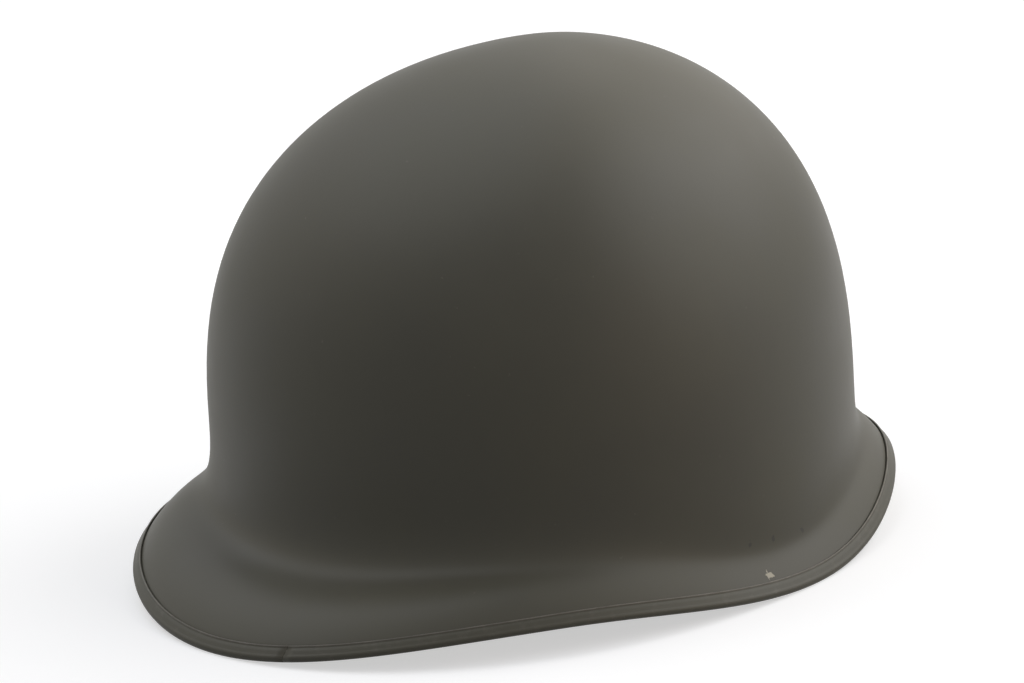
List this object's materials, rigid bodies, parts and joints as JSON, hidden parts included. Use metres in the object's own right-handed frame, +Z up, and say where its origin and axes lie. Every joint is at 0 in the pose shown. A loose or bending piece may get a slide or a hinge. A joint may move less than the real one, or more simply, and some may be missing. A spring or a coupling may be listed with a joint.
{
  "type": "steel combat helmet",
  "caption": "Deep-drawn steel combat helmet with a flared brim and folded rim strip, over a removable hard liner with a web suspension and leather sweatband.",
  "frame": {"origin": "on the table the helmet stands on, under the middle of its outline seen from above", "axes": "-Y towards the front (visor), +Y towards the rear, +X towards the wearer's left, +Z up"},
  "size_m": [0.2402, 0.2883, 0.1716],
  "materials": {
    "olive_paint": "matt",
    "bare_steel": "satin",
    "pressed_fibre": "matt",
    "blackened_steel": "satin",
    "cotton_web": "woven",
    "cotton_cord": "braided",
    "sweatband_leather": "satin"
  },
  "bodies": {
    "liner": {"liner_shell": "pressed_fibre", "suspension_rivets": "blackened_steel", "suspension_washers": "blackened_steel", "headband_web": "cotton_web", "crown_strap_front_left": "cotton_web", "crown_strap_front_right": "cotton_web", "crown_strap_side_left": "cotton_web", "crown_strap_side_right": "cotton_web", "crown_strap_rear_left": "cotton_web", "crown_strap_rear_right": "cotton_web", "crown_lace": "cotton_cord", "sweatband": "sweatband_leather", "sweatband_clips": "blackened_steel", "sweatband_buckle": "blackened_steel", "nape_band": "cotton_web", "nape_centre_strap": "cotton_web", "nape_rivets": "blackened_steel", "nape_washers": "blackened_steel", "liner_strap_studs": "blackened_steel", "front_eyelet": "blackened_steel"},
    "steel": {"steel_shell": "olive_paint", "rim_strip": "olive_paint", "left_loop_lug": "olive_paint", "right_loop_lug": "olive_paint"},
    "left_loop": {"left_strap_loop": "bare_steel"},
    "right_loop": {"right_strap_loop": "bare_steel"}
  },
  "joints": [
    {"name": "shell_lift", "type": "slide", "parent": "liner", "child": "steel", "axis": [0, 0, 1], "range_m": [0, 0.2]},
    {"name": "left_loop_swing", "type": "hinge", "parent": "steel", "child": "left_loop", "pos_m": [0.10814, 0.01458, 0.01027], "axis": [-0.0673, 0.9977, 0], "range_deg": [-15, 90]},
    {"name": "right_loop_swing", "type": "hinge", "parent": "steel", "child": "right_loop", "pos_m": [-0.10814, 0.01458, 0.01027], "axis": [-0.0673, -0.9977, 0], "range_deg": [-15, 90]}
  ]
}
